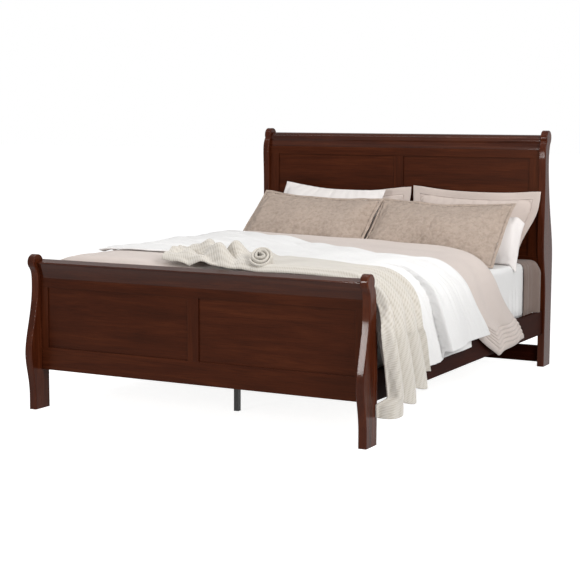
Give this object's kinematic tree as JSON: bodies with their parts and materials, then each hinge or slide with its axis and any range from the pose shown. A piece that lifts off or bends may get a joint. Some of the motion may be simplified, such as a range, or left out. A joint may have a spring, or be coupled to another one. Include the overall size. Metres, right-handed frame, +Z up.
{
  "type": "sleigh bed",
  "caption": "Dressed wooden sleigh bed: scrolled S-curved posts, panelled headboard and footboard, slatted base on support legs, mattress set, layered covers and pillows.",
  "frame": {"origin": "on the floor under the middle support leg, midway across the bed", "axes": "+Z up, +Y along the bed towards the headboard, +X to the right as seen from the foot"},
  "size_m": [1.7352, 2.27, 1.205],
  "materials": {
    "cherry_wood": "semi-gloss dark cherry lacquer",
    "bare_wood": "bare softwood",
    "black_steel": "black powder coat",
    "black_plastic": "matte",
    "zinc_steel": "zinc plated",
    "ticking": "woven ticking",
    "white_cotton": "plain cotton",
    "taupe_cotton": "soft brushed cotton",
    "cream_knit": "chunky ribbed knit",
    "sham_quilt": "matelasse quilted cotton",
    "beige_cotton": "brushed cotton"
  },
  "bodies": {
    "frame": {"centre_leg_foot": "black_steel", "centre_leg_head": "black_steel", "centre_leg_middle": "black_steel", "cleat_left": "bare_wood", "cleat_right": "bare_wood", "cleat_screws_left": "zinc_steel", "cleat_screws_right": "zinc_steel", "foot_bottom_rail": "cherry_wood", "foot_centre_stile": "cherry_wood", "foot_crown_rail": "cherry_wood", "foot_panel_left": "cherry_wood", "foot_panel_right": "cherry_wood", "foot_post_left": "cherry_wood", "foot_post_right": "cherry_wood", "foot_stile_left": "cherry_wood", "foot_stile_right": "cherry_wood", "foot_top_rail": "cherry_wood", "head_bottom_rail": "cherry_wood", "head_centre_stile": "cherry_wood", "head_crown_rail": "cherry_wood", "head_low_stretcher": "cherry_wood", "head_panel_left": "cherry_wood", "head_panel_right": "cherry_wood", "head_post_left": "cherry_wood", "head_post_right": "cherry_wood", "head_stile_left": "cherry_wood", "head_stile_right": "cherry_wood", "head_top_rail": "cherry_wood", "leg_cap_foot": "black_plastic", "leg_cap_head": "black_plastic", "leg_cap_middle": "black_plastic", "leg_screws": "zinc_steel", "rail_hook_foot_left": "zinc_steel", "rail_hook_foot_right": "zinc_steel", "rail_hook_head_left": "zinc_steel", "rail_hook_head_right": "zinc_steel", "rail_hook_pins": "zinc_steel", "side_rail_left": "cherry_wood", "side_rail_right": "cherry_wood", "slat_foot": "bare_wood", "slat_head": "bare_wood", "slat_middle": "bare_wood", "slat_screws": "zinc_steel"},
    "bedding": {"foundation": "ticking", "mattress": "ticking", "fitted_sheet": "white_cotton", "coverlet": "taupe_cotton", "blanket": "white_cotton", "throw": "cream_knit", "white_pillow_left": "white_cotton", "white_pillow_right": "white_cotton", "rear_sham_left": "beige_cotton", "rear_sham_right": "beige_cotton"},
    "left_sham": {"front_sham_left": "sham_quilt"},
    "right_sham": {"front_sham_right": "sham_quilt"}
  },
  "joints": [
    {"name": "bedding_lift", "type": "slide", "parent": "frame", "child": "bedding", "axis": [0, 0, 1], "range_m": [0, 0.5]},
    {"name": "left_sham_lift", "type": "slide", "parent": "bedding", "child": "left_sham", "axis": [0, 0, 1], "range_m": [0, 0.4]},
    {"name": "right_sham_lift", "type": "slide", "parent": "bedding", "child": "right_sham", "axis": [0, 0, 1], "range_m": [0, 0.4]}
  ]
}
